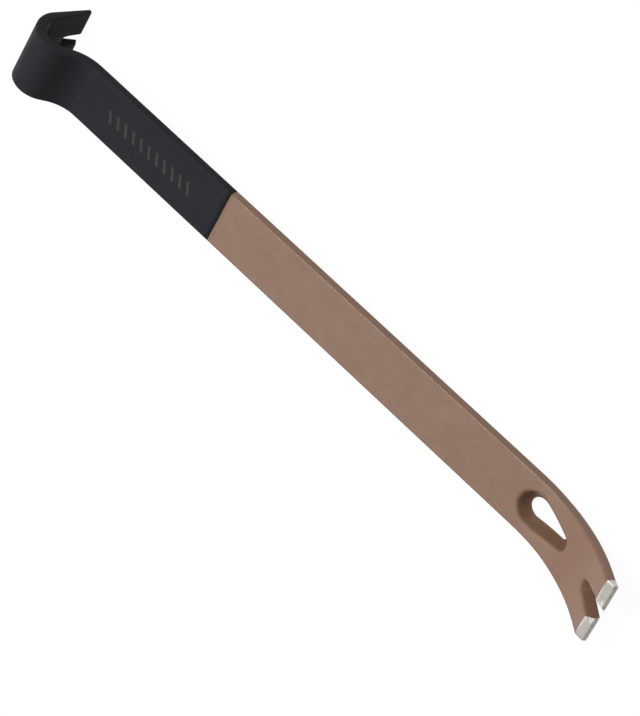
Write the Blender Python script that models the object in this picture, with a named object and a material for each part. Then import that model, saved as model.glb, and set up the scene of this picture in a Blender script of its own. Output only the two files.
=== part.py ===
"""Flat pry bar: one spring-steel forging with a black coat on the hook end and a tan coat on the rest.

The bar lies as it comes to rest on a bench, on the hook's claws and on the belly of the tip.
+X runs along the bar towards the tip, +Z is up, and the plane Y = 0 is its plane of symmetry.
Z = 0 is the bench, and the origin is under the middle of the bounding box.

The bar is a rounded flat section carried along a spine. The spine is measured by its arc length
from the ground tip, and each point of the bar by (arc, side, level): the side runs across the
bar, and the level is the height over the spine, positive on the front face.
"""
import bpy
from math import acos, asin, atan2, ceil, cos, hypot, pi, radians, sin
from mathutils import Matrix, Vector

MM = 0.001

# overall sizes of the forging
LENGTH = 381 * MM                 # from the back of the hook to the end of the tip, along the shank
THICKNESS = 5.0 * MM
EDGE_RADIUS = 1.5 * MM            # rounding along the four long edges
SHANK_WIDTH = 30.5 * MM           # where the hook starts to rise
FLARE_START = 50.0 * MM           # arc at which the sides start to spread towards the tip
FLARE_WIDTH = 32.8 * MM
TIP_WIDTH = 37.0 * MM
HOOK_WIDTH = 31.2 * MM            # at the start of the tight turn
CLAW_WIDTH_TOP = 35.3 * MM        # at its end
CLAW_WIDTH = 35.7 * MM            # at the claw's end

# spine of the tip, which rocks up towards the front
TIP_STRAIGHT = 9.0 * MM
TIP_RADIUS = 92.0 * MM
TIP_SWEEP = radians(37)

# spine of the hook: an S-bend up to the front, a tight turn to the back, a straight claw
RISE_RADIUS = 20.0 * MM
RISE_ANGLE = radians(45)
RISE_STRAIGHT = 3.5 * MM
HOOK_RADIUS = 10.2 * MM
HOOK_PAST_SQUARE = radians(24)    # how far the claw is turned past a right angle
CLAW_STRAIGHT = 20.2 * MM

# ends: the tip is ground on its front face, the claw thins from its inner face
BEVEL_LENGTH = 3.6 * MM
TIP_EDGE = 2.0 * MM               # thickness left at the tip's end
CLAW_TAPER = 20.0 * MM
CLAW_EDGE = 1.6 * MM
EDGE_SHARE = 0.3                  # largest rounding as a share of the thickness, near the ends

# coats
COAT = 0.2 * MM
GAP = 0.3 * MM                    # between a coat and the steel, and between the two coats
BLACK_ON_SHANK = 87.0 * MM        # straight length of the shank that is black
BARE_TIP = 4.0 * MM               # length of the tip that has no coat

# nail hole: a teardrop, round end towards the hook, with a wide countersink on the front.
# Each outline is (arc of the big circle, its radius, arc of the small circle, its radius).
HOLE_BACK = (61.6 * MM, 5.35 * MM, 45.6 * MM, 2.0 * MM)
HOLE_FRONT = (61.7 * MM, 10.6 * MM, 42.5 * MM, 5.2 * MM)

# nail slot of the tip: (half-width at the end, arc of the closed end's circle, its radius)
SLOT_BACK = (2.4 * MM, 13.5 * MM, 0.9 * MM)
SLOT_FRONT = (7.4 * MM, 15.8 * MM, 4.3 * MM)
# nail slot of the claw, with distances from the claw's end
CLAW_SLOT_OUTER = (1.9 * MM, 7.5 * MM, 0.6 * MM)
CLAW_SLOT_INNER = (7.2 * MM, 7.0 * MM, 6.3 * MM)
LAND = 0.4 * MM                   # straight wall at the narrow side of the hole and the slots
# sloped walls: slopes at the narrow and the wide end, as shares of a plain chamfer's, and the
# shares of the way from the narrow outline to the wide one that get a ring
DISHED = (0.25, 0.25, (0, 0.25, 0.5, 0.75))
LIPPED = (1.5, 0.1, (0, 0.25, 0.5, 0.75))
CHAMFERED = (1, 1, (0,))

# how far the cutters stand out of the bar
MOUTH_OVER = 3 * MM               # past the open end of a slot
NARROW_OVER = 3 * MM
WIDE_OVER = 1 * MM
CORE_MOUTH = 0.1 * MM             # from the bare tip to the mouth of the slot in the core

# fineness of the facets
EDGE_STEPS = 3                    # per rounded edge
HOOK_STEP = radians(11)
BEND_STEP = radians(6)
BIG_ROUND_STEPS = 16
SMALL_ROUND_STEPS = 8
FLANK_STEPS = 4
SLOT_STEPS = 3
SHARP_ANGLE = radians(35)

# finishes: (base colour, roughness, metallic)
GROUND_STEEL = ((0.53, 0.51, 0.48), 0.35, 1.0)
BLACK_PAINT = ((0.026, 0.028, 0.031), 0.45, 0.0)
TAN_PAINT = ((0.28, 0.18, 0.135), 0.5, 0.0)

HALF = THICKNESS / 2

# reach of the tip and of the hook past the two ends of the straight shank
TIP_REACH = TIP_RADIUS * sin(TIP_SWEEP) + TIP_STRAIGHT * cos(TIP_SWEEP) + HALF * sin(TIP_SWEEP)
HOOK_REACH = ((RISE_RADIUS + HOOK_RADIUS) * sin(RISE_ANGLE) + RISE_STRAIGHT * cos(RISE_ANGLE)
              + HOOK_RADIUS + HALF)
SHANK = LENGTH - TIP_REACH - HOOK_REACH
CLAW_ANGLE = -(pi / 2 + HOOK_PAST_SQUARE)

# spine from the tip to the claw: (length, slope at its start, slope at its end)
SPINE = [
    (TIP_STRAIGHT, -TIP_SWEEP, -TIP_SWEEP),
    (TIP_RADIUS * TIP_SWEEP, -TIP_SWEEP, 0),
    (SHANK, 0, 0),
    (RISE_RADIUS * RISE_ANGLE, 0, RISE_ANGLE),
    (RISE_STRAIGHT, RISE_ANGLE, RISE_ANGLE),
    (HOOK_RADIUS * (RISE_ANGLE - CLAW_ANGLE), RISE_ANGLE, CLAW_ANGLE),
    (CLAW_STRAIGHT, CLAW_ANGLE, CLAW_ANGLE),
]
HOOK_TURN = 5                     # the tight turn's place in the list
TIP_CURVE_START = SPINE[0][0]
SHANK_START = TIP_CURVE_START + SPINE[1][0]
RISE_START = SHANK_START + SHANK
HOOK_START = RISE_START + SPINE[3][0] + RISE_STRAIGHT
CLAW_START = HOOK_START + SPINE[5][0]
SPINE_LENGTH = CLAW_START + CLAW_STRAIGHT
COLOUR_LINE = RISE_START - BLACK_ON_SHANK
WIDTHS = [
    (0, TIP_WIDTH),
    (FLARE_START, FLARE_WIDTH),
    (RISE_START, SHANK_WIDTH),
    (HOOK_START, HOOK_WIDTH),
    (CLAW_START, CLAW_WIDTH_TOP),
    (SPINE_LENGTH, CLAW_WIDTH),
]


def spine_point(arc):
    """Centre line at an arc length: (x, z, slope). x = 0 is where the tip starts to curve."""
    x = TIP_RADIUS * sin(TIP_SWEEP) + TIP_STRAIGHT * cos(TIP_SWEEP)
    z = TIP_RADIUS * (1 - cos(TIP_SWEEP)) + TIP_STRAIGHT * sin(TIP_SWEEP)
    left = arc
    for number, (length, slope, end_slope) in enumerate(SPINE):
        last = number == len(SPINE) - 1
        run = left if last else min(left, length)
        turn = end_slope - slope
        if turn:
            radius = length / turn
            now = slope + run / radius
            x -= radius * (sin(now) - sin(slope))
            z -= radius * (cos(now) - cos(slope))
            slope = now
        else:
            x -= run * cos(slope)
            z += run * sin(slope)
        left -= run
        if left <= 0:
            break
    return x, z, slope


def place(arc, side, level):
    """Point of the bar at (arc, side, level)."""
    x, z, slope = spine_point(arc)
    return Vector((x + level * sin(slope), side, z + level * cos(slope)))


def between(value, start, end, low, high):
    """Straight line from low at start to high at end, level beyond both."""
    part = min(max((value - start) / (end - start), 0), 1)
    return low + (high - low) * part


def half_width(arc):
    for (start, width), (end, end_width) in zip(WIDTHS, WIDTHS[1:]):
        if arc < end:
            break
    return between(arc, start, end, width, end_width) / 2


def front_level(arc):
    return between(arc, 0, BEVEL_LENGTH, TIP_EDGE - HALF, HALF)


def back_level(arc):
    return between(arc, SPINE_LENGTH - CLAW_TAPER, SPINE_LENGTH, -HALF, HALF - CLAW_EDGE)


def section(arc, inset):
    """Rounded flat section at an arc length, all of it moved in by inset."""
    top = front_level(arc) - inset
    bottom = back_level(arc) + inset
    side = half_width(arc) - inset
    radius = min(EDGE_RADIUS - inset, (top - bottom) * EDGE_SHARE)
    ring = []
    for corner in range(4):
        centre_side = (side - radius) * (1 if corner in (0, 3) else -1)
        centre_level = top - radius if corner < 2 else bottom + radius
        for step in range(EDGE_STEPS + 1):
            angle = (corner + step / EDGE_STEPS) * pi / 2
            ring.append(place(arc, centre_side + radius * cos(angle),
                              centre_level + radius * sin(angle)))
    return ring


def stations(start, end):
    """Arc lengths at which the bar needs a section, between two ends. Where a bend is level or
    upright once the bar is at rest, it gets a section too, so the facets reach its full size."""
    wanted = {BEVEL_LENGTH, FLARE_START, SPINE_LENGTH - CLAW_TAPER}
    tilt = resting_tilt()
    arc = 0
    for number, (length, slope, end_slope) in enumerate(SPINE):
        step = HOOK_STEP if number == HOOK_TURN else BEND_STEP
        count = max(1, ceil(abs(end_slope - slope) / step))
        wanted |= {arc + length * n / count for n in range(count)}
        for extreme in (tilt, tilt - pi / 2):
            if min(slope, end_slope) < extreme < max(slope, end_slope):
                wanted.add(arc + length * (extreme - slope) / (end_slope - slope))
        arc += length
    inner = sorted(arc for arc in wanted if start + GAP < arc < end - GAP)
    return [start] + inner + [end]


def add_loft(name, rings):
    """Closed body through a row of rings with the same number of points."""
    count = len(rings[0])
    faces = [list(range(count))]
    for row in range(len(rings) - 1):
        base = row * count
        for number in range(count):
            following = (number + 1) % count
            faces.append([base + following, base + number,
                          base + count + number, base + count + following])
    faces.append([(len(rings) - 1) * count + number for number in reversed(range(count))])
    mesh = bpy.data.meshes.new(name)
    mesh.from_pydata([point for ring in rings for point in ring], [], faces)
    mesh.validate()
    body = bpy.data.objects.new(name, mesh)
    bpy.context.scene.collection.objects.link(body)
    body.parent = rest_frame
    return body


def teardrop(level, outline, grow):
    """Ring of a teardrop at a level: two circles and the straight flanks between them."""
    big_arc, big_radius, small_arc, small_radius = outline
    big_radius += grow
    small_radius += grow
    flank = asin((big_radius - small_radius) / (big_arc - small_arc))
    ring = []
    for step in range(BIG_ROUND_STEPS + 1):
        angle = -(pi / 2 + flank) + (pi + 2 * flank) * step / BIG_ROUND_STEPS
        ring.append((big_arc + big_radius * cos(angle), big_radius * sin(angle)))
    far = (big_arc + big_radius * cos(pi / 2 + flank), big_radius * sin(pi / 2 + flank))
    near = (small_arc + small_radius * cos(pi / 2 + flank), small_radius * sin(pi / 2 + flank))
    shares = [n / FLANK_STEPS for n in range(1, FLANK_STEPS)]
    ring += [(far[0] + (near[0] - far[0]) * part, far[1] + (near[1] - far[1]) * part)
             for part in shares]
    for step in range(SMALL_ROUND_STEPS + 1):
        angle = pi / 2 + flank + (pi - 2 * flank) * step / SMALL_ROUND_STEPS
        ring.append((small_arc + small_radius * cos(angle), small_radius * sin(angle)))
    ring += [(near[0] + (far[0] - near[0]) * part, -near[1] - (far[1] - near[1]) * part)
             for part in shares]
    return [place(arc, side, level) for arc, side in ring]


def slot(level, outline, grow, mouth, from_claw=False):
    """Ring of a slot at a level: a V from the mouth to a round closed end."""
    half_mouth, end_arc, end_radius = outline
    end_radius += grow
    flank = asin(min((half_mouth + grow - end_radius) / end_arc, 1))
    edge = end_arc + end_radius * sin(flank), end_radius * cos(flank)
    slope = (edge[1] - half_mouth - grow) / edge[0]
    ring = []
    for step in range(SLOT_STEPS):
        arc = mouth + (edge[0] - mouth) * step / SLOT_STEPS
        ring.append((arc, edge[1] + slope * (arc - edge[0])))
    for step in range(SMALL_ROUND_STEPS + 1):
        angle = pi / 2 - flank - (pi - 2 * flank) * step / SMALL_ROUND_STEPS
        ring.append((end_arc + end_radius * cos(angle), end_radius * sin(angle)))
    ring += [(arc, -side) for arc, side in reversed(ring[:SLOT_STEPS])]
    if from_claw:
        return [place(SPINE_LENGTH - arc, side, level) for arc, side in ring]
    return [place(arc, side, level) for arc, side in reversed(ring)]


def blend(low, high, part):
    return tuple(a + (b - a) * part for a, b in zip(low, high))


def add_cutter(name, levels, ring_at):
    """Cutter through the bar; levels holds rising (level, outline) rows."""
    body = add_loft(name, [ring_at(level, outline) for level, outline in levels])
    body.hide_render = True
    body.display_type = "WIRE"
    return body


def wall_height(part, start_slope, end_slope):
    """Share of a sloped wall's height at a share of the way from its narrow to its wide outline."""
    return (start_slope * part * (1 - part) ** 2 + part ** 2 * (3 - 2 * part)
            + end_slope * part ** 2 * (part - 1))


def cutter_levels(wide, narrow, wide_side, wall):
    """Rising levels of a cutter: straight through the land, then sloped out past the wide face."""
    depth = THICKNESS - LAND
    start_slope, end_slope, parts = wall
    heights = [wall_height(part, start_slope, end_slope) for part in parts]
    rows = [(-HALF - NARROW_OVER, narrow)]
    rows += [(-HALF + LAND + depth * height, blend(narrow, wide, part))
             for part, height in zip(parts, heights)]
    last = parts[-1]
    facet = (1 - last) / (1 - heights[-1])
    beyond = last + facet * (1 + WIDE_OVER / depth - heights[-1])
    rows.append((HALF + WIDE_OVER, blend(narrow, wide, beyond)))
    if wide_side < 0:
        rows = [(-level, outline) for level, outline in reversed(rows)]
    return rows


def cut(body, *cutters):
    for cutter in cutters:
        modifier = body.modifiers.new("cut_" + cutter.name, "BOOLEAN")
        modifier.object = cutter
        modifier.solver = "EXACT"
    return body


def openings(tag, grow, mouth):
    """The three cutters of the nail hole and the two nail slots, grown on every side."""
    hole = add_cutter("hole_" + tag, cutter_levels(HOLE_FRONT, HOLE_BACK, 1, DISHED),
                      lambda level, outline: teardrop(level, outline, grow))
    tip = add_cutter("tip_slot_" + tag, cutter_levels(SLOT_FRONT, SLOT_BACK, 1, LIPPED),
                     lambda level, outline: slot(level, outline, grow, mouth))
    claw_levels = cutter_levels(CLAW_SLOT_INNER, CLAW_SLOT_OUTER, -1, CHAMFERED)
    claw = add_cutter("claw_slot_" + tag, claw_levels,
                      lambda level, outline: slot(level, outline, grow, -MOUTH_OVER, True))
    return hole, tip, claw


def add_bar(name, start, end, inset):
    return add_loft(name, [section(arc, inset) for arc in stations(start, end)])


def resting_tilt():
    """Turn about Y that lays the claw's end and the belly of the tip on the bench."""
    claw = min((place(SPINE_LENGTH, 0, level) for level in (back_level(SPINE_LENGTH), HALF)),
               key=lambda point: point.z)
    across = 0 - claw.x
    up = TIP_RADIUS - claw.z
    return atan2(across, up) - acos((TIP_RADIUS + HALF) / hypot(across, up))


def add_material(body, name, finish):
    colour, roughness, metallic = finish
    material = bpy.data.materials.new(name)
    material.use_nodes = True
    shader = material.node_tree.nodes["Principled BSDF"]
    shader.inputs["Base Color"].default_value = (*colour, 1)
    shader.inputs["Roughness"].default_value = roughness
    shader.inputs["Metallic"].default_value = metallic
    body.data.materials.append(material)
    body.data.shade_smooth()
    body.data.set_sharp_from_angle(angle=SHARP_ANGLE)


for old in list(bpy.data.objects):
    bpy.data.objects.remove(old, do_unlink=True)

rest_frame = bpy.data.objects.new("rest_frame", None)
bpy.context.scene.collection.objects.link(rest_frame)

# steel: full size at the bare tip, inside the coats everywhere else
CORE = COAT + GAP
tip_rings = [section(arc, 0) for arc in (0, BEVEL_LENGTH, BARE_TIP)]
core_rings = [section(arc, CORE) for arc in stations(BARE_TIP, SPINE_LENGTH - CORE)]
forged_bar = add_loft("forged_bar", tip_rings + core_rings)
tip_slot_bare = add_cutter("tip_slot_bare", cutter_levels(SLOT_FRONT, SLOT_BACK, 1, LIPPED),
                           lambda level, outline: slot(level, outline, 0, -MOUTH_OVER))
cut(forged_bar, tip_slot_bare, *openings("core", CORE, BARE_TIP + CORE_MOUTH))

# coats: the bar's own surface less the same shape moved in by the coat's thickness
surface_openings = openings("surface", 0, -MOUTH_OVER)
inner_openings = openings("inner", COAT, -MOUTH_OVER)
coat_inner = add_bar("coat_inner", BARE_TIP, SPINE_LENGTH - COAT, COAT)
coat_inner.hide_render = True
coat_inner.display_type = "WIRE"
cut(coat_inner, *inner_openings)
tan_coat = add_bar("tan_coat", BARE_TIP + GAP, COLOUR_LINE - GAP / 2, 0)
black_coat = add_bar("black_coat", COLOUR_LINE + GAP / 2, SPINE_LENGTH, 0)
cut(tan_coat, *surface_openings[:2], coat_inner)
cut(black_coat, surface_openings[2], coat_inner)

add_material(forged_bar, "ground_steel", GROUND_STEEL)
add_material(black_coat, "black_paint", BLACK_PAINT)
add_material(tan_coat, "tan_paint", TAN_PAINT)

# lay the bar on the bench, with the middle of its length over the origin
tilt = resting_tilt()
turn = Matrix.Rotation(-tilt, 4, "Y")
outer = [turn @ vertex.co for body in (forged_bar, black_coat, tan_coat)
         for vertex in body.data.vertices]
middle = (min(point.x for point in outer) + max(point.x for point in outer)) / 2
lowest = min(point.z for point in outer)
rest_frame.matrix_world = Matrix.Translation((-middle, 0, -lowest)) @ turn
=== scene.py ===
"""Looks of the flat pry bar: a painted forging with a ground tip, on a pale floor.

The bar is described as in the CAD source: by its arc length from the ground tip along a bent
spine, the side across it, and the level over the spine. Its front and back are height fields over
the (arc, side) plane, triangulated between offset outlines, and rounded rims join the two.
Lengths are in millimetres until place(), which gives metres in the row frame.
"""

from math import acos, asin, atan2, ceil, cos, hypot, pi, radians, sin

import bmesh
import bpy
import numpy as np
from mathutils import Matrix, Vector
from mathutils.geometry import delaunay_2d_cdt


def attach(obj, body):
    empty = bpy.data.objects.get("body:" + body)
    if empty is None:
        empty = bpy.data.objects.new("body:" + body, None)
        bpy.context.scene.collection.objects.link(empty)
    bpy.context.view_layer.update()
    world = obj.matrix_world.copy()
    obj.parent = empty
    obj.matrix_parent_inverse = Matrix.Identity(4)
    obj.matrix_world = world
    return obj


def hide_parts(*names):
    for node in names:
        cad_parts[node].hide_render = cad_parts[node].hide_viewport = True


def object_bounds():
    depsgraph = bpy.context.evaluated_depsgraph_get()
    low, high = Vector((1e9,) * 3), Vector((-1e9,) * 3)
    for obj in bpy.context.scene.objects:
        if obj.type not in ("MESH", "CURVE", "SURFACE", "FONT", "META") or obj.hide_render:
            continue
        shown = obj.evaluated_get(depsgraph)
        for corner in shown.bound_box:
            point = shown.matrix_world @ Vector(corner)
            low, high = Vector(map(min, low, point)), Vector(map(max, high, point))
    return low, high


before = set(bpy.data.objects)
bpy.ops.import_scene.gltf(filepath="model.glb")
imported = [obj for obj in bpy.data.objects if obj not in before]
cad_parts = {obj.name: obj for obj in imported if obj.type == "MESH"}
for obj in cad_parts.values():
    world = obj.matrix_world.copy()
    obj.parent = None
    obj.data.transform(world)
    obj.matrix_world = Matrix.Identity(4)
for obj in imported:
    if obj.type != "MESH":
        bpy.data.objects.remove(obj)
bpy.context.view_layer.update()
cad_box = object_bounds()

MM = 0.001
ROUNDING = 1e-9                   # what rounding may leave of a zero
STEP_SLACK = 1e-6                 # the same in a number of steps, before it is rounded up

# ---------------------------------------------------------------- the bar's own dimensions
LENGTH = 381.0
THICKNESS = 5.0
HALF = THICKNESS / 2
EDGE_RADIUS = 1.5
SHANK_WIDTH = 30.5
FLARE_START = 50.0
FLARE_WIDTH = 32.8
TIP_WIDTH = 37.0
HOOK_WIDTH = 31.2
CLAW_WIDTH_TOP = 35.3
CLAW_WIDTH = 35.7
TIP_STRAIGHT = 9.0
TIP_RADIUS = 92.0
TIP_SWEEP = radians(37)
RISE_RADIUS = 20.0
RISE_ANGLE = radians(45)
RISE_STRAIGHT = 3.5
HOOK_RADIUS = 10.2
HOOK_PAST_SQUARE = radians(24)
CLAW_STRAIGHT = 20.2
BEVEL_LENGTH = 3.6
TIP_EDGE = 2.0
CLAW_TAPER = 20.0
CLAW_EDGE = 1.6
COAT = 0.2
CLEAR = 0.02                      # between a coat's inner skin and the steel
BLACK_ON_SHANK = 87.0
BARE_TIP = 4.0
LAND = 0.4                        # straight wall at the narrow side of the hole and the slots
# slopes of a sloped wall at its narrow and at its wide end, as shares of a plain chamfer's
DISHED = (0.25, 0.25)
LIPPED = (1.5, 0.1)
CHAMFERED = (1, 1)

# openings: (arc of the big circle, radius, arc of the small circle, radius)
HOLE_NARROW = (61.6, 5.35, 45.6, 2.0)
HOLE_WIDE = (61.7, 10.6, 42.5, 5.2)
# slots: (half-width at the end, distance of the closed end's circle, its radius)
SLOT_NARROW = (2.4, 13.5, 0.9)
SLOT_WIDE = (7.4, 15.8, 4.3)
CLAW_SLOT_NARROW = (1.9, 7.5, 0.6)
CLAW_SLOT_WIDE = (7.2, 7.0, 6.3)

TIP_REACH = TIP_RADIUS * sin(TIP_SWEEP) + TIP_STRAIGHT * cos(TIP_SWEEP) + HALF * sin(TIP_SWEEP)
HOOK_REACH = ((RISE_RADIUS + HOOK_RADIUS) * sin(RISE_ANGLE) + RISE_STRAIGHT * cos(RISE_ANGLE)
              + HOOK_RADIUS + HALF)
SHANK = LENGTH - TIP_REACH - HOOK_REACH
CLAW_ANGLE = -(pi / 2 + HOOK_PAST_SQUARE)
# the spine from the ground tip to the claw: (length, slope where it starts, slope where it ends)
SPINE = [
    (TIP_STRAIGHT, -TIP_SWEEP, -TIP_SWEEP),
    (TIP_RADIUS * TIP_SWEEP, -TIP_SWEEP, 0),
    (SHANK, 0, 0),
    (RISE_RADIUS * RISE_ANGLE, 0, RISE_ANGLE),
    (RISE_STRAIGHT, RISE_ANGLE, RISE_ANGLE),
    (HOOK_RADIUS * (RISE_ANGLE - CLAW_ANGLE), RISE_ANGLE, CLAW_ANGLE),
    (CLAW_STRAIGHT, CLAW_ANGLE, CLAW_ANGLE),
]
_, _, RISE_START, _, HOOK_START, CLAW_START, SPINE_LENGTH = np.cumsum(
    [length for length, _, _ in SPINE])
COLOUR_LINE = RISE_START - BLACK_ON_SHANK
TIP_PART = 80.0                   # the hole and the tip's slot lie within this arc
CLAW_PART = 30.0                  # the claw's slot lies within this distance of the claw's end


def spine_point(arc):
    """Centre line at an arc length: (x, z, slope)."""
    x = TIP_RADIUS * sin(TIP_SWEEP) + TIP_STRAIGHT * cos(TIP_SWEEP)
    z = TIP_RADIUS * (1 - cos(TIP_SWEEP)) + TIP_STRAIGHT * sin(TIP_SWEEP)
    left = arc
    for number, (length, slope, end_slope) in enumerate(SPINE):
        run = left if number == len(SPINE) - 1 else min(left, length)
        turn = end_slope - slope
        if turn:
            radius = length / turn
            now = slope + run / radius
            x -= radius * (sin(now) - sin(slope))
            z -= radius * (cos(now) - cos(slope))
            slope = now
        else:
            x -= run * cos(slope)
            z += run * sin(slope)
        left -= run
        if left <= 0:
            break
    return x, z, slope


def local_point(arc, side, level):
    x, z, slope = spine_point(arc)
    return Vector((x + level * sin(slope), side, z + level * cos(slope)))


def resting_tilt():
    """Turn about Y that lays the claw's end and the belly of the tip on the floor."""
    claw = min((local_point(SPINE_LENGTH, 0, level) for level in (HALF - CLAW_EDGE, HALF)),
               key=lambda point: point.z)
    up = TIP_RADIUS - claw.z
    return atan2(-claw.x, up) - acos((TIP_RADIUS + HALF) / hypot(claw.x, up))


def rest_matrix():
    """The bar's place in the row frame: tilted to rest, then moved to the CAD solids' box."""
    turn = Matrix.Rotation(-resting_tilt(), 4, "Y")
    tip = turn @ local_point(0, 0, -HALF) * MM
    claw = turn @ local_point(SPINE_LENGTH, 0, HALF) * MM
    return Matrix.Translation((cad_box[1].x - tip.x, 0, cad_box[0].z - claw.z)) @ turn


REST = rest_matrix()


def place(arc, side, level):
    """Point of the bar at (arc, side, level), in metres in the row frame."""
    return REST @ (local_point(arc, side, level) * MM)


# ---------------------------------------------------------------- its surface as height fields
def half_width(arc):
    arc = np.asarray(arc, float)
    width = np.interp(arc, [0, FLARE_START, RISE_START, HOOK_START, CLAW_START, SPINE_LENGTH],
                      [TIP_WIDTH, FLARE_WIDTH, SHANK_WIDTH, HOOK_WIDTH, CLAW_WIDTH_TOP,
                       CLAW_WIDTH])
    return width / 2


def blend(low, high, part):
    return [a + (b - a) * part for a, b in zip(low, high)]


def teardrop_gap(outline, arc, side):
    """Distance outside a teardrop; negative inside it."""
    big_arc, big_radius, small_arc, small_radius = outline
    lean = np.arcsin((big_radius - small_radius) / (big_arc - small_arc))
    side = np.abs(side)
    along = arc * np.cos(lean) + side * np.sin(lean)
    flank = -np.sin(lean) * (arc - big_arc) + np.cos(lean) * side - big_radius
    big = np.hypot(arc - big_arc, side) - big_radius
    small = np.hypot(arc - small_arc, side) - small_radius
    return np.where(along > big_arc * np.cos(lean), big,
                    np.where(along < small_arc * np.cos(lean), small, flank))


def slot_edge(outline):
    """Where the flank of a slot meets its round end: (distance, half-width)."""
    mouth, end, radius = outline
    lean = np.arcsin((mouth - radius) / end)
    return end + radius * np.sin(lean), radius * np.cos(lean)


def slot_gap(outline, arc, side):
    """Distance outside a slot, measured across it beside the flanks; negative inside it."""
    mouth, end, radius = outline
    edge, width = slot_edge(outline)
    side = np.abs(side)
    flank = side - (mouth + (width - mouth) * arc / edge)
    return np.where(arc > edge, np.hypot(arc - end, side) - radius, flank)


HALVINGS = 26


def depth_part(gap, narrow, wide, arc, side):
    """How far a point is from the narrow outline (0) to the wide one (1)."""
    low = np.zeros_like(arc)
    high = np.ones_like(arc)
    for _ in range(HALVINGS):
        middle = (low + high) / 2
        outside = gap(blend(narrow, wide, middle), arc, side) > 0
        low = np.where(outside, middle, low)
        high = np.where(outside, high, middle)
    return (low + high) / 2


def wall_level(part, slopes):
    """Level of a sloped wall, from the land's edge to the full thickness."""
    height = (slopes[0] * part * (1 - part) ** 2 + part ** 2 * (3 - 2 * part)
              + slopes[1] * part ** 2 * (part - 1))
    return -HALF + LAND + (THICKNESS - LAND) * height


def bevel_level(arc):
    """Level of the front face, with the ground bevel of the tip."""
    return np.interp(arc, [0, BEVEL_LENGTH], [TIP_EDGE - HALF, HALF])


def taper_level(arc):
    """Level of the back face, with the claw thinned towards its end."""
    return np.interp(arc, [SPINE_LENGTH - CLAW_TAPER, SPINE_LENGTH], [-HALF, HALF - CLAW_EDGE])


def front_level(arc, side):
    arc = np.asarray(arc, float)
    side = np.asarray(side, float)
    level = bevel_level(arc)
    near = arc < TIP_PART
    if near.any():
        at = arc[near], side[near]
        hole = wall_level(depth_part(teardrop_gap, HOLE_NARROW, HOLE_WIDE, *at), DISHED)
        tip = wall_level(depth_part(slot_gap, SLOT_NARROW, SLOT_WIDE, *at), LIPPED)
        level[near] = np.minimum(level[near], np.minimum(hole, tip))
    return level


def back_level(arc, side):
    arc = np.asarray(arc, float)
    side = np.asarray(side, float)
    level = taper_level(arc)
    near = arc > SPINE_LENGTH - CLAW_PART
    if near.any():
        claw = wall_level(depth_part(slot_gap, CLAW_SLOT_NARROW, CLAW_SLOT_WIDE,
                                     SPINE_LENGTH - arc[near], side[near]), CHAMFERED)
        level[near] = np.maximum(level[near], -claw)
    return level


# ---------------------------------------------------------------- outlines
BIG_POINTS = 65                   # on the hole's big circle, its small one and each flank
SMALL_POINTS = 29
FLANK_POINTS = 17
SLOT_END_POINTS = 25              # on a slot's closed end
SLOT_STOPS = tuple(np.linspace(0, 1, 11))  # and along its flanks
CORNER_POINTS = 5


def arc_points(centre, radius, start, end, count):
    """Points on a circle between two angles, both ends included."""
    angles = np.linspace(start, end, count)
    return np.stack([centre[0] + radius * np.cos(angles), centre[1] + radius * np.sin(angles)], 1)


def line_points(a, b, step):
    """Points from a towards b, without b."""
    a = np.asarray(a, float)
    b = np.asarray(b, float)
    count = max(1, ceil(np.linalg.norm(b - a) / step - STEP_SLACK))
    return a + (b - a) * (np.arange(count) / count)[:, None]


def teardrop_points(outline):
    """Closed loop round a teardrop, with the hole on its left."""
    big_arc, big_radius, small_arc, small_radius = outline
    lean = asin((big_radius - small_radius) / (big_arc - small_arc))
    round_end = arc_points((big_arc, 0), big_radius, -(pi / 2 + lean), pi / 2 + lean,
                           BIG_POINTS)
    tail = arc_points((small_arc, 0), small_radius, pi / 2 + lean, 3 * pi / 2 - lean,
                      SMALL_POINTS)
    flank = np.linspace(round_end[-1], tail[0], FLANK_POINTS)[1:-1]
    other = np.linspace(tail[-1], round_end[0], FLANK_POINTS)[1:-1]
    return np.concatenate([round_end, flank, tail, other])


def slot_points(outline, stops=SLOT_STOPS):
    """Open line round a slot, from its mouth on the left side to the mouth on the right.
    Stops are shares of the flank's length, from the mouth to the round end."""
    mouth, end, radius = outline
    edge, width = slot_edge(outline)
    lean = asin((mouth - radius) / end)
    closed = arc_points((end, 0), radius, -(pi / 2 - lean), pi / 2 - lean, SLOT_END_POINTS)
    stops = np.array(stops)[:-1, None]
    going = (0, -mouth) + stops * (edge, mouth - width)
    return np.concatenate([going, closed, going[::-1] * [1, -1]])


def corner_points(before, corner, after, radius):
    """Rounded corner between two straight sides."""
    before, corner, after = (np.asarray(p, float) for p in (before, corner, after))
    back = (before - corner) / np.linalg.norm(before - corner)
    ahead = (after - corner) / np.linalg.norm(after - corner)
    middle = (back + ahead) / np.linalg.norm(back + ahead)
    half_angle = np.arccos(np.clip(back @ ahead, -1, 1)) / 2
    centre = corner + middle * radius / np.sin(half_angle)
    spread = pi / 2 - half_angle
    towards = np.arctan2(*(-middle)[::-1])
    turn = np.sign(back[0] * ahead[1] - back[1] * ahead[0])
    points = arc_points(centre, radius, towards + turn * spread, towards - turn * spread,
                        CORNER_POINTS)
    if np.linalg.norm(points[0] - before) > np.linalg.norm(points[-1] - before):
        points = points[::-1]
    return points


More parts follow.
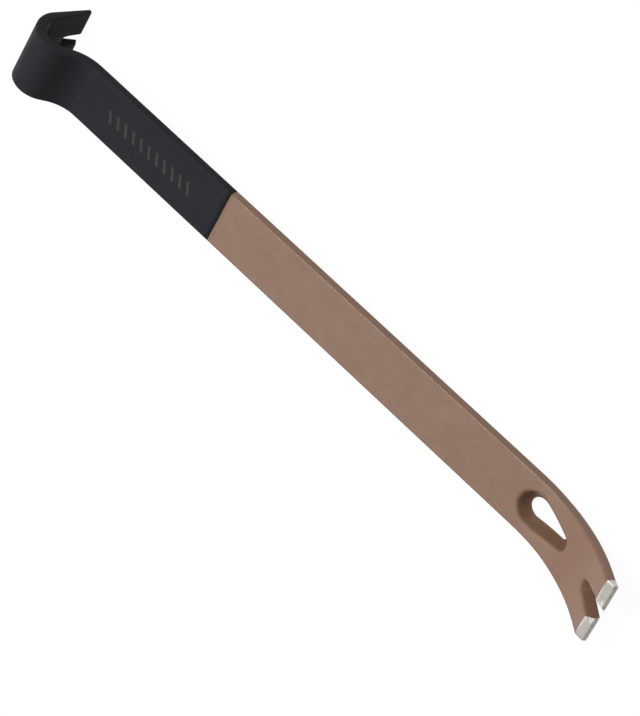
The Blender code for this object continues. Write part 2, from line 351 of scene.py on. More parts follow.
def stations():
    """Arc lengths of the cross rows, close together where the bar bends."""
    # (start, end, longest step) of each stretch
    steps = [(0, BEVEL_LENGTH, 0.6), (BEVEL_LENGTH, BARE_TIP, 0.4), (BARE_TIP, TIP_PART, 1.3),
             (TIP_PART, COLOUR_LINE, 3.0), (COLOUR_LINE, RISE_START, 3.0),
             (RISE_START, HOOK_START, 1.2), (HOOK_START, CLAW_START, 0.55),
             (CLAW_START, SPINE_LENGTH, 0.9)]
    rows = [0.0]
    for start, end, step in steps:
        count = ceil((end - start) / step - STEP_SLACK)
        rows += [start + (end - start) * (n + 1) / count for n in range(count)]
    return np.array(rows)


STATIONS = stations()
TIP_CORNER = 0.5                  # radii of the corners, and of those at the mouths of the slots
CLAW_CORNER = 0.8
MOUTH_CORNER = 0.35
# an end's straight line: its distance from the side and from the slot's mouth, and its step
TIP_LINE = (0.9, 0.5, 1.0)
CLAW_LINE = (1.1, 0.6, 1.2)
SIDE, TIP_END, CLAW_END, TIP_SLOT, CLAW_SLOT = range(5)


def claw_side(points):
    """Points given from the claw's end, turned into arc lengths."""
    return np.stack([SPINE_LENGTH - points[:, 0], points[:, 1]], 1)


def outline():
    """Closed outline of the bar laid flat, clockwise, with what each point lies on."""
    parts = []

    def add(points, kind):
        parts.append((np.atleast_2d(points), kind))

    end = SPINE_LENGTH
    tip_half, claw_half = half_width(0), half_width(end)
    rows = STATIONS[2:-2]         # clear of the corners
    right = np.stack([rows, half_width(rows)], 1)
    left = right[::-1] * [1, -1]
    claw_slot = claw_side(slot_points(CLAW_SLOT_NARROW)[::-1])
    tip_slot = slot_points(SLOT_NARROW)
    by_side, by_mouth, step = CLAW_LINE
    add(right, SIDE)
    add(corner_points(right[-1], (end, claw_half), (end, 0), CLAW_CORNER), SIDE)
    add(line_points((end, claw_half - by_side), (end, claw_slot[0][1] + by_mouth), step), CLAW_END)
    add(corner_points((end, claw_half), claw_slot[0], claw_slot[1], MOUTH_CORNER), CLAW_SLOT)
    add(claw_slot[1:-1], CLAW_SLOT)
    add(corner_points(claw_slot[-2], claw_slot[-1], (end, -claw_half), MOUTH_CORNER), CLAW_SLOT)
    add(line_points((end, claw_slot[-1][1] - by_mouth), (end, -claw_half + by_side), step),
        CLAW_END)
    add(corner_points((end, 0), (end, -claw_half), left[0], CLAW_CORNER), SIDE)
    by_side, by_mouth, step = TIP_LINE
    add(left, SIDE)
    add(corner_points(left[-1], (0, -tip_half), (0, 0), TIP_CORNER), SIDE)
    add(line_points((0, -tip_half + by_side), (0, tip_slot[0][1] - by_mouth), step), TIP_END)
    add(corner_points((0, -tip_half), tip_slot[0], tip_slot[1], MOUTH_CORNER), TIP_SLOT)
    add(tip_slot[1:-1], TIP_SLOT)
    add(corner_points(tip_slot[-2], tip_slot[-1], (0, tip_half), MOUTH_CORNER), TIP_SLOT)
    add(line_points((0, tip_slot[-1][1] + by_mouth), (0, tip_half - by_side), step), TIP_END)
    add(corner_points((0, 0), (0, tip_half), right[0], TIP_CORNER), SIDE)
    points = np.concatenate([part for part, _ in parts])
    kinds = np.concatenate([np.full(len(part), kind) for part, kind in parts])
    return points, kinds


def inward(points):
    """Direction into the material at each point of a clockwise loop, long enough to keep
    the distance from both neighbouring sides, and at most twice as long."""
    ahead = np.roll(points, -1, 0) - points
    ahead /= np.linalg.norm(ahead, axis=1)[:, None]
    normal = np.stack([ahead[:, 1], -ahead[:, 0]], 1)
    mean = normal + np.roll(normal, 1, 0)
    mean /= np.linalg.norm(mean, axis=1)[:, None]
    stretch = 1 / np.maximum((mean * normal).sum(1), 0.5)
    return mean * stretch[:, None]


def smooth_loop(values, times):
    for _ in range(times):
        values = (np.roll(values, 1) + 2 * values + np.roll(values, -1)) / 4
    return values


RIM_TURN = np.linspace(0, pi / 2, 7)
RIM_WALL = (0.33, 0.67)           # rows on the wall between the fillets, from front to back
# radii of the fillets: (front, back)
RIM_RADII = {SIDE: (EDGE_RADIUS, EDGE_RADIUS), TIP_END: (0.12, 0.12), CLAW_END: (0.3, 0.3),
             TIP_SLOT: (0.1, 0.2), CLAW_SLOT: (0.2, 0.1)}
HOLE_RADII = (0.1, 0.2)
RIM_SHARE = 0.26                  # of the thickness, the most that a fillet takes
RIM_SMOOTHING = 3                 # rounds, so that the radii change gradually along the rim
SIDE_WEAR = 1.0
INNER_WEAR = 0.8                  # at the ends, the slots and the hole


class Rim:
    """Rounded rim along a closed outline: front fillet, wall and back fillet, as rows of points.

    Each row holds (arc, side, level); the first row borders the front and the last the back."""

    def __init__(self, points, front_radius, back_radius, wear):
        self.points = points
        directions = inward(points)
        front = points + directions * front_radius[:, None]
        back = points + directions * back_radius[:, None]
        top = front_level(front[:, 0], front[:, 1])
        bottom = back_level(back[:, 0], back[:, 1])
        self.rows = []
        self.wear = []
        for turn in RIM_TURN:
            at = points + directions * (front_radius * (1 - sin(turn)))[:, None]
            self.rows.append(np.column_stack([at, top - front_radius * (1 - cos(turn))]))
            self.wear.append(wear * sin(2 * turn))
        wall_top = top - front_radius
        wall_bottom = bottom + back_radius
        for part in RIM_WALL:
            self.rows.append(np.column_stack([points, wall_top + (wall_bottom - wall_top) * part]))
            self.wear.append(0 * wear)
        for turn in RIM_TURN[::-1]:
            at = points + directions * (back_radius * (1 - sin(turn)))[:, None]
            self.rows.append(np.column_stack([at, bottom + back_radius * (1 - cos(turn))]))
            self.wear.append(wear * sin(2 * turn))
        self.front = front
        self.back = back
        self.directions = directions


def bar_rims():
    """The rims of the bar's outline and of the nail hole, and what the outline's points lie on."""
    points, kinds = outline()
    thickness = bevel_level(points[:, 0]) - taper_level(points[:, 0])
    front, back = (smooth_loop(np.minimum(radii, thickness * RIM_SHARE), RIM_SMOOTHING)
                   for radii in np.array([RIM_RADII[kind] for kind in kinds]).T)
    outer = Rim(points, front, back, np.where(kinds == SIDE, SIDE_WEAR, INNER_WEAR))
    hole = teardrop_points(HOLE_NARROW)
    front, back, wear = (np.full(len(hole), value) for value in (*HOLE_RADII, INNER_WEAR))
    return outer, Rim(hole, front, back, wear), kinds


# ---------------------------------------------------------------- triangulated faces
HOLE_PARTS = (0.08, 0.14, 0.22, 0.32, 0.45, 0.58, 0.7, 0.8, 0.88, 0.94, 1.0)
WALL_PARTS = (0.0, 0.08, 0.18, 0.3, 0.45, 0.6, 0.74, 0.86, 1.0)
WALL_SAMPLES = 201                # where the height of a slot's walls is compared with the face's
LEAST_WALL = 0.03                 # share of the wall's width below which no lines are drawn
SUPPORT = 0.15                    # a row of points this far inside the rims keeps flats flat
SUPPORT_ENDS = 1.5                # and stops this far from both ends
SLOT_SUPPORT = 2.5 * SUPPORT      # the lines round a slot start this far from its land
MOUTH_CLEAR = 0.7                 # and this far from the mouth's rounded rim
WALL_STOPS = 9                    # on each of the two stretches of a slot's flank
LAST_STRETCH = 0.9                # share of the flank where the second one starts at the latest
PLAN_WELD = 1e-5
FILL_NEAR = 1.7                   # steps across the bar between the points that fill the faces
FILL_FAR = 3.0
FILL_RIM_CLEAR = 0.9              # and their distance from the side fillets
# on each face, what they keep clear of, and by how much: hole, tip slot, claw slot
FRONT_CLEAR = ((HOLE_WIDE, 0.5), (SLOT_WIDE, 0.4), (CLAW_SLOT_NARROW, 0.8))
BACK_CLEAR = ((HOLE_NARROW, 0.9), (SLOT_NARROW, 0.8), (CLAW_SLOT_WIDE, 0.5))


class Plan:
    """Points and edges laid flat, to be triangulated."""

    def __init__(self):
        self.points = []
        self.edges = []

    def line(self, points, closed=False):
        start = len(self.points)
        self.points += [tuple(p) for p in points]
        count = len(points)
        self.edges += [(start + n, start + n + 1) for n in range(count - 1)]
        if closed:
            self.edges.append((start + count - 1, start))

    def triangles(self):
        points, _, faces, _, _, _ = delaunay_2d_cdt(
            [Vector(p) for p in self.points], self.edges, [], 0, PLAN_WELD)
        return np.array([(p.x, p.y) for p in points]), np.array(faces)


def inside(loop, points):
    """Which points lie inside a closed loop."""
    x, y = points[:, 0][:, None], points[:, 1][:, None]
    ax, ay = loop[:, 0][None], loop[:, 1][None]
    bx, by = np.roll(loop[:, 0], -1)[None], np.roll(loop[:, 1], -1)[None]
    crosses = (ay > y) != (by > y)
    with np.errstate(divide="ignore", invalid="ignore"):
        at = ax + (y - ay) / (by - ay) * (bx - ax)
    return (crosses & (x < at)).sum(1) % 2 == 1


def slot_walls(narrow, wide, slopes, carrier, bend):
    """Lines round the sloped walls of a slot, from near its land out to where the walls meet
    the face that carries it. carrier(distance) is that face's level, and its slope changes at
    bend. A bend past the round end takes the first stretch of the lines past it too, over the
    plain face. The last line is the meeting."""
    edge, _ = slot_edge(wide)
    stops = [*np.linspace(MOUTH_CLEAR / edge, bend / edge, WALL_STOPS)[:-1],
             *np.linspace(min(bend / edge, LAST_STRETCH), 1, WALL_STOPS)]
    parts = np.linspace(0, 1, WALL_SAMPLES)
    rows = np.array([slot_points(blend(narrow, wide, part), stops) for part in parts])
    over = carrier(rows[:, :, 0]) - wall_level(parts, slopes)[:, None]
    meeting = np.array([parts[np.nonzero(column >= -ROUNDING)[0][-1]] for column in over.T])
    gap_across = np.linalg.norm(rows[-1] - rows[0], axis=1)
    first = SLOT_SUPPORT / gap_across
    kept = meeting > first + LEAST_WALL
    lines = []
    for share in WALL_PARTS:
        at = first + (meeting - first) * share
        points = [[np.interp(part, parts, rows[:, column, axis]) for axis in (0, 1)]
                  for column, part in enumerate(at) if kept[column]]
        lines.append(np.array(points))
    return lines


def fill_points(hole, tip_slot, claw_slot):
    """Points in rows across a face, clear of its ends, and of the openings by a distance:
    each is given as (outline, distance)."""
    rows = []
    for arc in STATIONS[1:-2]:
        step = FILL_FAR if TIP_PART < arc < RISE_START else FILL_NEAR
        reach = float(half_width(arc)) - EDGE_RADIUS - FILL_RIM_CLEAR
        count = ceil(2 * reach / step) + 1
        rows.append(np.column_stack([np.full(count, arc), np.linspace(-reach, reach, count)]))
    points = np.concatenate(rows)
    arc, side = points.T
    clear = ((teardrop_gap(hole[0], arc, side) > hole[1])
             & (slot_gap(tip_slot[0], arc, side) > tip_slot[1])
             & (slot_gap(claw_slot[0], SPINE_LENGTH - arc, side) > claw_slot[1]))
    return [tuple(p) for p in points[clear]]


def nearest(points, target):
    """The point that is closest to the target."""
    return points[np.argmin(((points - target) ** 2).sum(1))]


def across(loop, arc, breaks=()):
    """Line across the bar at an arc length, from the loop's points on both sides, with gaps."""
    right = nearest(loop, (arc, half_width(arc)))
    left = nearest(loop, (arc, -half_width(arc)))
    stops = [right, *breaks, left]
    return [np.array(stops[n:n + 2]) for n in range(0, len(stops), 2)]


def support_lines(loop, rim):
    """The two long sides of a loop, without its ends and slots, moved in a little."""
    moved = loop + rim.directions * SUPPORT
    arc, side = rim.points.T
    along = ((arc > SUPPORT_ENDS) & (arc < SPINE_LENGTH - SUPPORT_ENDS)
             & (np.abs(side) > SHANK_WIDTH / 2 - 1))
    return [moved[along & (side > 0)], moved[along & (side < 0)]]


def front_plan(outer, hole):
    """The front face laid flat, with lines along its rims, its openings, the bevel and the
    colours."""
    plan = Plan()
    plan.line(outer.front, True)
    plan.line(hole.front, True)
    for line in support_lines(outer.front, outer):
        plan.line(line)
    for part in HOLE_PARTS:
        plan.line(teardrop_points(blend(HOLE_NARROW, HOLE_WIDE, part)), True)
    walls = slot_walls(SLOT_NARROW, SLOT_WIDE, LIPPED, bevel_level, BEVEL_LENGTH)
    for line in walls:
        plan.line(line)
    meets = [nearest(walls[-1], (BEVEL_LENGTH, side * SLOT_WIDE[0])) for side in (1, -1)]
    for line in across(outer.front, BEVEL_LENGTH, meets) + across(outer.front, COLOUR_LINE):
        plan.line(line)
    plan.points += fill_points(*FRONT_CLEAR)
    return plan


def claw_carrier(distance):
    """Level of the claw's thinned inner face, counted down from the outer one."""
    return np.interp(distance, [0, CLAW_TAPER], [CLAW_EDGE - HALF, HALF])


def back_plan(outer, hole):
    """The back face laid flat, with lines along its rims, the claw's slot and the colours."""
    plan = Plan()
    plan.line(outer.back, True)
    plan.line(hole.back, True)
    for line in support_lines(outer.back, outer):
        plan.line(line)
    plan.line(hole.back + hole.directions * SUPPORT, True)
    for line in slot_walls(CLAW_SLOT_NARROW, CLAW_SLOT_WIDE, CHAMFERED, claw_carrier, CLAW_TAPER):
        plan.line(claw_side(line))
    slot_back = nearest(outer.back, (BARE_TIP, -slot_edge(SLOT_NARROW)[1]))
    for line in across(outer.back, BARE_TIP, (slot_back * [1, -1], slot_back)):
        plan.line(line)
    for line in across(outer.back, COLOUR_LINE):
        plan.line(line)
    plan.points += fill_points(*BACK_CLEAR)
    return plan


# ---------------------------------------------------------------- the whole outer surface
STEEL, TAN, BLACK = range(3)
BARE_MOUTH = 0.6                  # of the tip slot's wall, from the tip's end
WELD = 2e-6                       # metres
SPECK = 1e-6


class Surface:
    """The bar's outer surface as points (arc, side, level), faces, and what covers each face."""

    def __init__(self):
        self.points = []
        self.faces = []
        self.covers = []
        self.wear = []

    def add(self, points, faces, covers, wear):
        start = len(self.points)
        self.points += [tuple(p) for p in points]
        self.wear += list(wear)
        self.faces += [tuple(start + n for n in face) for face in faces]
        self.covers += list(covers)

    def add_plan(self, plan, loops, level, front):
        """A face from its plan: what lies between the outer loop and the hole's."""
        points, faces = plan.triangles()
        middles = points[faces].mean(1)
        faces = faces[inside(loops[0], middles) & ~inside(loops[1], middles)]
        ends = points[faces]
        area = np.cross(ends[:, 1] - ends[:, 0], ends[:, 2] - ends[:, 0])
        flip = (area > 0) == front
        faces[flip] = faces[flip][:, ::-1]
        faces = faces[np.abs(area) > ROUNDING]
        middles = points[faces].mean(1)
        heights = level(points[:, 0], points[:, 1])
        covers = np.where(middles[:, 0] > COLOUR_LINE, BLACK, TAN)
        if front:
            in_slot = wall_level(depth_part(slot_gap, SLOT_NARROW, SLOT_WIDE, *middles.T), LIPPED)
            bevel = bevel_level(middles[:, 0])
            covers[(middles[:, 0] < BEVEL_LENGTH) & (in_slot > bevel)] = STEEL
        else:
            covers[middles[:, 0] < BARE_TIP] = STEEL
        self.add(np.column_stack([points, heights]), faces, covers, np.zeros(len(points)))

    def add_rim(self, rim, kinds=None):
        """A rim as a closed band of quads."""
        count = len(rim.points)
        points = np.concatenate(rim.rows)
        faces = []
        covers = []
        for row in range(len(rim.rows) - 1):
            bare = BEVEL_LENGTH if row < len(RIM_TURN) - 1 else BARE_TIP
            for n in range(count):
                following = (n + 1) % count
                face = (row * count + n, row * count + following,
                        (row + 1) * count + following, (row + 1) * count + n)
                arc = points[list(face), 0].mean()
                faces.append(face)
                slot = kinds is not None and TIP_SLOT in (kinds[n], kinds[following])
                if arc > COLOUR_LINE:
                    cover = BLACK
                elif arc > bare or (slot and arc > BARE_MOUTH):
                    cover = TAN
                else:
                    cover = STEEL
                covers.append(cover)
        self.add(points, faces, covers, np.concatenate(rim.wear))


def build_surface():
    outer, hole, kinds = bar_rims()
    surface = Surface()
    surface.add_rim(outer, kinds)
    surface.add_rim(hole)
    surface.add_plan(front_plan(outer, hole), (outer.front, hole.front), front_level, True)
    surface.add_plan(back_plan(outer, hole), (outer.back, hole.back), back_level, False)
    return surface


def keep_coordinates(mesh, points):
    """Gives a mesh its points' (arc, side, level), in metres, as an attribute for the materials."""
    along = mesh.attributes.new("bar", "FLOAT_VECTOR", "POINT")
    along.data.foreach_set("vector", (np.array(points) * MM).ravel())


def whole_bar(surface):
    """The outer surface as one closed mesh, with its coordinates and wear as attributes."""
    mesh = bpy.data.meshes.new("bar_surface")
    mesh.from_pydata([place(*point) for point in surface.points], [], surface.faces)
    mesh.polygons.foreach_set("material_index", surface.covers)
    keep_coordinates(mesh, surface.points)
    wear = mesh.attributes.new("wear", "FLOAT", "POINT")
    wear.data.foreach_set("value", surface.wear)
    shape = bmesh.new()
    shape.from_mesh(mesh)
    bmesh.ops.remove_doubles(shape, verts=shape.verts, dist=WELD)
    bmesh.ops.dissolve_degenerate(shape, edges=shape.edges, dist=SPECK)
    bmesh.ops.recalc_face_normals(shape, faces=shape.faces)
    bpy.data.meshes.remove(mesh)
    return shape


SHARP_ANGLE = radians(32)


def add_piece(name, shape):
    """A visible piece on the body, from a bmesh that isn't needed afterwards."""
    mesh = bpy.data.meshes.new(name)
    shape.to_mesh(mesh)
    shape.free()
    mesh.polygons.foreach_set("material_index", [0] * len(mesh.polygons))
    mesh.shade_smooth()
    mesh.set_sharp_from_angle(angle=SHARP_ANGLE)
    piece = bpy.data.objects.new(name, mesh)
    bpy.context.scene.collection.objects.link(piece)
    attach(piece, "root")
    return piece


def coat_piece(name, whole, cover):
    """Part of the outer surface given the coat's thickness."""
    shape = whole.copy()
    others = [face for face in shape.faces if face.material_index != cover]
    bmesh.ops.delete(shape, geom=others, context="FACES")
    piece = add_piece(name, shape)
    thicken = piece.modifiers.new("coat_thickness", "SOLIDIFY")
    thicken.thickness = (COAT - CLEAR) * MM
    thicken.offset = -1
    return piece


def steel_piece(name, whole):
    """The forging: at the surface where it is bare, and under the coats everywhere else."""
    shape = whole.copy()
    shape.normal_update()
    covered = [vertex for vertex in shape.verts
               if all(face.material_index != STEEL for face in vertex.link_faces)]
    for vertex in covered:
        vertex.co -= vertex.normal * COAT * MM
    return add_piece(name, shape)


# ---------------------------------------------------------------- printed strokes
STROKES = 11
STROKE_FIRST = 282.0              # arc of the first stroke's middle, counted towards the hook
STROKE_STEP = 5.0
STROKE_HALF_HEIGHT = 3.3          # across the bar
STROKE_WIDTH = 1.7
STROKE_SLANT = 1.3
PRINT = 0.03                      # thickness of the ink


def printed_strokes(name):
    """Row of slanted strokes printed on the black front face: plain, and saying nothing."""
    shape = bmesh.new()
    points = []
    for number in range(STROKES):
        middle = STROKE_FIRST + number * STROKE_STEP
        corners = [(middle + lean * STROKE_SLANT + end * STROKE_WIDTH / 2,
                    lean * STROKE_HALF_HEIGHT)
                   for lean, end in ((-1, -1), (-1, 1), (1, 1), (1, -1))]
        rings = [[(arc, side, HALF + level) for arc, side in corners] for level in (0, PRINT)]
        low, high = ([shape.verts.new(place(*point)) for point in ring] for ring in rings)
        points += rings[0] + rings[1]
        shape.faces.new(high)
        for n in range(4):
            following = (n + 1) % 4
            shape.faces.new((low[n], low[following], high[following], high[n]))
    bmesh.ops.recalc_face_normals(shape, faces=shape.faces)
    piece = add_piece(name, shape)
    keep_coordinates(piece.data, points)
    return piece


# ---------------------------------------------------------------- materials
class Nodes:
    """Short calls that add and wire shader nodes."""

    def __init__(self, name):
        self.material = bpy.data.materials.new(name)
        self.material.use_nodes = True
        self.tree = self.material.node_tree
        self.shader = self.tree.nodes["Principled BSDF"]

    def add(self, kind, **values):
        node = self.tree.nodes.new(kind)
        for key, value in values.items():
            setattr(node, key, value)
        return node

    def wire(self, source, target):
        self.tree.links.new(source, target)

    def attribute(self, name, output):
        return self.add("ShaderNodeAttribute", attribute_name=name).outputs[output]

    def scaled(self, vector, scale):
        node = self.add("ShaderNodeVectorMath", operation="MULTIPLY")
        self.wire(vector, node.inputs[0])
        node.inputs[1].default_value = scale
        return node.outputs[0]

    def noise(self, vector, scale, detail, roughness):
        node = self.add("ShaderNodeTexNoise")
        self.wire(vector, node.inputs["Vector"])
        node.inputs["Scale"].default_value = scale
        node.inputs["Detail"].default_value = detail
        node.inputs["Roughness"].default_value = roughness
        return node.outputs["Fac"]

    def spread(self, value, low, high, to_low=0.0, to_high=1.0):
        node = self.add("ShaderNodeMapRange")
        self.wire(value, node.inputs["Value"])
        for name, number in (("From Min", low), ("From Max", high),
                             ("To Min", to_low), ("To Max", to_high)):
            node.inputs[name].default_value = number
        return node.outputs["Result"]

    def math(self, operation, a, b):
        node = self.add("ShaderNodeMath", operation=operation)
        for socket, value in zip(node.inputs, (a, b)):
            if isinstance(value, (int, float)):
                socket.default_value = value
            else:
                self.wire(value, socket)
        return node.outputs[0]

    def mix(self, part, a, b):
        """Colour mixed from a and b; sockets 6 and 7 are its colour inputs, and 2 its output."""
        node = self.add("ShaderNodeMix", data_type="RGBA")
        self.wire(part, node.inputs[0])
        for socket, value in zip((node.inputs[6], node.inputs[7]), (a, b)):
            if isinstance(value, tuple):
                socket.default_value = (*value, 1)
            else:
                self.wire(value, socket)
        return node.outputs[2]

    def bump(self, layers):
        """Bump from (height, strength, distance in metres) layers, coarse first."""
        normal = None
        for height, strength, distance in layers:
            node = self.add("ShaderNodeBump")
            self.wire(height, node.inputs["Height"])
            node.inputs["Strength"].default_value = strength
            node.inputs["Distance"].default_value = distance
            if normal is not None:
                self.wire(normal, node.inputs["Normal"])
            normal = node.outputs["Normal"]
        self.wire(normal, self.shader.inputs["Normal"])

    def set(self, name, value):
        self.shader.inputs[name].default_value = value


# painted shade on the walls of the hole and the tip's slot, with lengths in millimetres
RECESS_SHADE_TONE = 0.60                # how dark the painted shade makes the paint there
RECESS_TOP = 0.05                 # below the front face, where the darkening starts
RECESS_DEPTH = 0.8                # and where it is full
RECESS_BOTTOM = 0.1               # above the back face, where it ends
RECESS_HALF_WIDTH = 12.5          # beyond it are the rounded sides, which get no painted shade
RECESS_FADE = 1.0


def recess(nodes, bar):
    """Where the paint gets painted shade: 1 on the walls of the hole and the tip slot, 0 on the
    faces and the rounded sides.
    """
    parts = nodes.add("ShaderNodeSeparateXYZ")
    nodes.wire(bar, parts.inputs[0])
    side, level = parts.outputs["Y"], parts.outputs["Z"]
    front = nodes.spread(level, (HALF - RECESS_DEPTH) * MM, (HALF - RECESS_TOP) * MM, 1.0, 0.0)
    back = nodes.spread(level, -HALF * MM, (RECESS_BOTTOM - HALF) * MM)
    between = nodes.spread(nodes.math("ABSOLUTE", side, 0.0), RECESS_HALF_WIDTH * MM,
                           (RECESS_HALF_WIDTH + RECESS_FADE) * MM, 1.0, 0.0)
    return nodes.math("MULTIPLY", nodes.math("MULTIPLY", front, back), between)


# noises of the paint: (scale in cells per metre, detail, roughness), and the range of each
# that is spread from 0 to 1
DRIFT = (45.0, 3.0, 0.5)          # slow change of the colour
DRIFT_RANGE = (0.2, 0.8)
SPECKLE = (2600.0, 2.0, 0.7)
SPECKLE_RANGE = (0.35, 0.65)
SCUFF = (420.0, 4.0, 0.65)        # where the edges are burnished
SCUFF_RANGE = (0.5, 0.72)
SHEEN = (160.0, 3.0, 0.5)         # slow change of the roughness
SHEEN_RANGE = (0.3, 0.7)
PEEL = (900.0, 1.0, 0.5)          # orange peel
GRAIN = (4200.0, 2.0, 0.5)
# noises of the ground steel, drawn out along the bar by the factors below them
SCRATCHES = (5200.0, 3.0, 0.6)
SCRATCH_STRETCH = (0.05, 1.0, 1.0)
SCRATCH_RANGE = (0.3, 0.7)
FURROWS = (900.0, 2.0, 0.5)
FURROW_STRETCH = (0.12, 1.0, 1.0)
BLOTCHES = (260.0, 3.0, 0.6)
TONE_RANGE = (0.35, 0.65)         # of the scratches and blotches together

DRIFT_SHARE = 0.35                # of the colour; the speckle has the rest
SPECKLE_SHARE = 0.65
SHEEN_LESS = 0.05                 # how far the roughness goes below and above its middle
SHEEN_MORE = 0.06
EDGE_WORN = 0.55                  # how much of the worn colour an edge takes, and how much
EDGE_POLISH = 0.08                # roughness it loses
# bumps: (strength, distance in metres)
PEEL_BUMP = (0.35, 0.00006)
GRAIN_BUMP = (0.3, 0.00002)
FURROW_BUMP = (0.25, 0.00008)
SCRATCH_BUMP = (0.3, 0.00003)


def paint(name, dark, light, worn, roughness, specular, painted_shade_strength):
    """Baked-on coat: soft colour drift, fine speckle, orange peel, burnished edges, and, where
    asked, painted shade on the walls of the hole and the tip slot.
    """
    nodes = Nodes(name)
    bar = nodes.attribute("bar", "Vector")
    drift = nodes.spread(nodes.noise(bar, *DRIFT), *DRIFT_RANGE)
    speckle = nodes.spread(nodes.noise(bar, *SPECKLE), *SPECKLE_RANGE)
    shade = nodes.math("ADD", nodes.math("MULTIPLY", drift, DRIFT_SHARE),
                       nodes.math("MULTIPLY", speckle, SPECKLE_SHARE))
    body = nodes.mix(shade, dark, light)
    nodes.set("Specular IOR Level", specular)
    # painted shade: the paint is darker and has less specular on the walls of the hole and the tip
    # slot
    if painted_shade_strength:
        painted_shade = nodes.math("MULTIPLY", recess(nodes, bar), painted_shade_strength)
        body = nodes.mix(painted_shade, body, tuple(tone * RECESS_SHADE_TONE for tone in dark))
        nodes.wire(nodes.spread(painted_shade, 0.0, 1.0, specular, 0.0),
                   nodes.shader.inputs["Specular IOR Level"])
    scuff = nodes.spread(nodes.noise(bar, *SCUFF), *SCUFF_RANGE)
    edge = nodes.math("MULTIPLY", nodes.attribute("wear", "Fac"), scuff)
    nodes.wire(nodes.mix(nodes.math("MULTIPLY", edge, EDGE_WORN), body, worn),
               nodes.shader.inputs["Base Color"])
    gloss = nodes.spread(nodes.noise(bar, *SHEEN), *SHEEN_RANGE, roughness - SHEEN_LESS,
                         roughness + SHEEN_MORE)
    nodes.wire(nodes.math("SUBTRACT", gloss, nodes.math("MULTIPLY", edge, EDGE_POLISH)),
               nodes.shader.inputs["Roughness"])
    nodes.bump([(nodes.noise(bar, *PEEL), *PEEL_BUMP), (nodes.noise(bar, *GRAIN), *GRAIN_BUMP)])
    return nodes.material


def ground_metal(name, dark, light, smooth, rough):
    """Bare ground steel: fine scratches along the bar, with faint blotches."""
    nodes = Nodes(name)
    bar = nodes.attribute("bar", "Vector")
    lines = nodes.noise(nodes.scaled(bar, SCRATCH_STRETCH), *SCRATCHES)
    broad = nodes.noise(nodes.scaled(bar, FURROW_STRETCH), *FURROWS)
    blotch = nodes.noise(bar, *BLOTCHES)
    tone = nodes.math("ADD", nodes.math("MULTIPLY", lines, 0.5),
                      nodes.math("MULTIPLY", blotch, 0.5))
    nodes.wire(nodes.mix(nodes.spread(tone, *TONE_RANGE), dark, light),
               nodes.shader.inputs["Base Color"])
    nodes.wire(nodes.spread(lines, *SCRATCH_RANGE, smooth, rough),
               nodes.shader.inputs["Roughness"])
    nodes.set("Metallic", 1.0)
    nodes.bump([(broad, *FURROW_BUMP), (lines, *SCRATCH_BUMP)])
    return nodes.material


# ---------------------------------------------------------------- pieces
GROUND_STEEL = {"dark": (0.46, 0.44, 0.408), "light": (0.60, 0.572, 0.53),
                "smooth": 0.36, "rough": 0.52}
# the tan paint gets painted shade in the hole and the tip slot
TAN_PAINT = {"dark": (0.258, 0.144, 0.090), "light": (0.300, 0.170, 0.110),
             "worn": (0.35, 0.24, 0.18), "roughness": 0.38, "specular": 0.42, "painted_shade_strength": 0.8}
BLACK_PAINT = {"dark": (0.0245, 0.0257, 0.0287), "light": (0.0305, 0.0320, 0.0355),
               "worn": (0.035, 0.037, 0.04), "roughness": 0.52, "specular": 0.05, "painted_shade_strength": 0.0}
GREY_PRINT = {"dark": (0.045, 0.039, 0.040), "light": (0.082, 0.072, 0.073),
              "worn": (0.07, 0.062, 0.063), "roughness": 0.6, "specular": 0.1, "painted_shade_strength": 0.0}

whole = whole_bar(build_surface())
steel = steel_piece("forged_steel_bar", whole)
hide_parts("forged_bar")
tan = coat_piece("tan_finish", whole, TAN)
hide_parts("tan_coat")
black = coat_piece("black_finish", whole, BLACK)
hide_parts("black_coat")
strokes = printed_strokes("printed_strokes")
whole.free()

steel.data.materials.append(ground_metal("ground_steel", **GROUND_STEEL))
tan.data.materials.append(paint("tan_paint", **TAN_PAINT))
black.data.materials.append(paint("black_paint", **BLACK_PAINT))
strokes.data.materials.append(paint("grey_print", **GREY_PRINT))

# ---------------------------------------------------------------- studio, in metres
# the camera: the point it looks at, the direction it looks from, its turn and its distance
AIM = Vector((0.00673, -0.02299, 0.01))
AZIMUTH = radians(154.107)
ELEVATION = radians(44.117)
ROLL = radians(115.756)
DISTANCE = 3.3619
LENS = 375.2
SENSOR = 36
CLIP_START = 0.1
CLIP_END = 100


def add_camera():
    data = bpy.data.cameras.new("camera")
    data.lens = LENS
    data.sensor_width = SENSOR
    data.clip_start = CLIP_START
    data.clip_end = CLIP_END
    camera = bpy.data.objects.new("camera", data)
    bpy.context.scene.collection.objects.link(camera)
    back = Vector((sin(AZIMUTH) * cos(ELEVATION), -cos(AZIMUTH) * cos(ELEVATION), sin(ELEVATION)))
    level = (-back).to_track_quat("-Z", "Y").to_matrix().to_4x4()
    camera.matrix_world = (Matrix.Translation(AIM + back * DISTANCE) @ level
                           @ Matrix.Rotation(-ROLL, 4, "Z"))
    bpy.context.scene.camera = camera


FLOOR_REACH = 20
FLOOR_ALBEDO = 0.08
FLOOR_GLOW = 0.95
BACKDROP_HEIGHT = 12
BACKDROP_GLOW = 1.0
BACKDROP_SIDES = 64
LIGHT_DISTANCE = 6
# name, direction from the bar, diameter, power in watts
LIGHTS = [("key", (-0.35, -0.45, 0.82), 4.4, 124),
          ("edge_panel", (-0.215, 0.585, 0.782), 3.4, 246),
          ("low_panel", (-0.76, -0.64, 0.12), 3.2, 26)]
WORLD_STRENGTH = 0.14


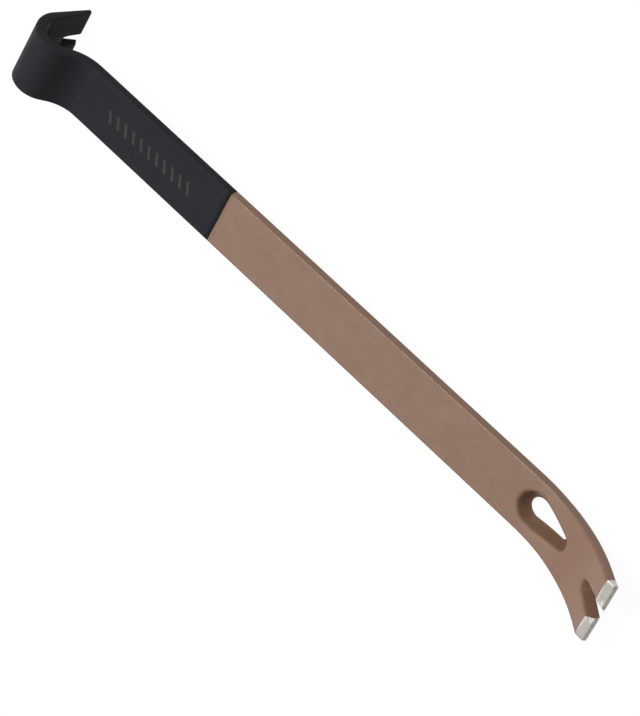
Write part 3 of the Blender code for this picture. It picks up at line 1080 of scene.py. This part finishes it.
def add_stage(name, points, faces, albedo, glow):
    """Part of the pale studio: glows evenly, takes a little shadow, and doesn't light the bar."""
    mesh = bpy.data.meshes.new(name)
    mesh.from_pydata(points, [], faces)
    stage = bpy.data.objects.new(name, mesh)
    bpy.context.scene.collection.objects.link(stage)
    nodes = Nodes(name)
    nodes.set("Base Color", (albedo, albedo, albedo, 1))
    nodes.set("Roughness", 1.0)
    nodes.set("Specular IOR Level", 0.0)
    nodes.set("Emission Color", (1, 1, 1, 1))
    nodes.set("Emission Strength", glow)
    mesh.materials.append(nodes.material)
    stage.visible_diffuse = False
    return stage


def add_studio():
    """A pale floor that runs into a round pale backdrop."""
    far = FLOOR_REACH
    add_stage("pale_floor", [(-far, -far, 0), (far, -far, 0), (far, far, 0), (-far, far, 0)],
              [(0, 1, 2, 3)], FLOOR_ALBEDO, FLOOR_GLOW)
    count = BACKDROP_SIDES
    ring = [(far * cos(2 * pi * n / count), far * sin(2 * pi * n / count), z)
            for z in (0, BACKDROP_HEIGHT) for n in range(count)]
    faces = [(n, (n + 1) % count, count + (n + 1) % count, count + n) for n in range(count)]
    backdrop = add_stage("pale_backdrop", ring, faces, 0.0, BACKDROP_GLOW)
    backdrop.visible_glossy = False
    backdrop.visible_shadow = False


def add_light(name, direction, size, power):
    """Round panel that faces the bar."""
    data = bpy.data.lights.new(name, "AREA")
    data.shape = "DISK"
    data.size = size
    data.energy = power
    lamp = bpy.data.objects.new(name, data)
    bpy.context.scene.collection.objects.link(lamp)
    direction = Vector(direction).normalized()
    lamp.location = direction * LIGHT_DISTANCE
    lamp.rotation_mode = "QUATERNION"
    lamp.rotation_quaternion = (-direction).to_track_quat("-Z", "Y")


def add_world():
    world = bpy.data.worlds.new("studio")
    world.use_nodes = True
    background = world.node_tree.nodes["Background"]
    background.inputs["Color"].default_value = (1, 1, 1, 1)
    background.inputs["Strength"].default_value = WORLD_STRENGTH
    bpy.context.scene.world = world


add_camera()
add_studio()
add_world()
for light in LIGHTS:
    add_light(*light)
bpy.context.scene.view_settings.view_transform = "Standard"

bpy.context.view_layer.update()
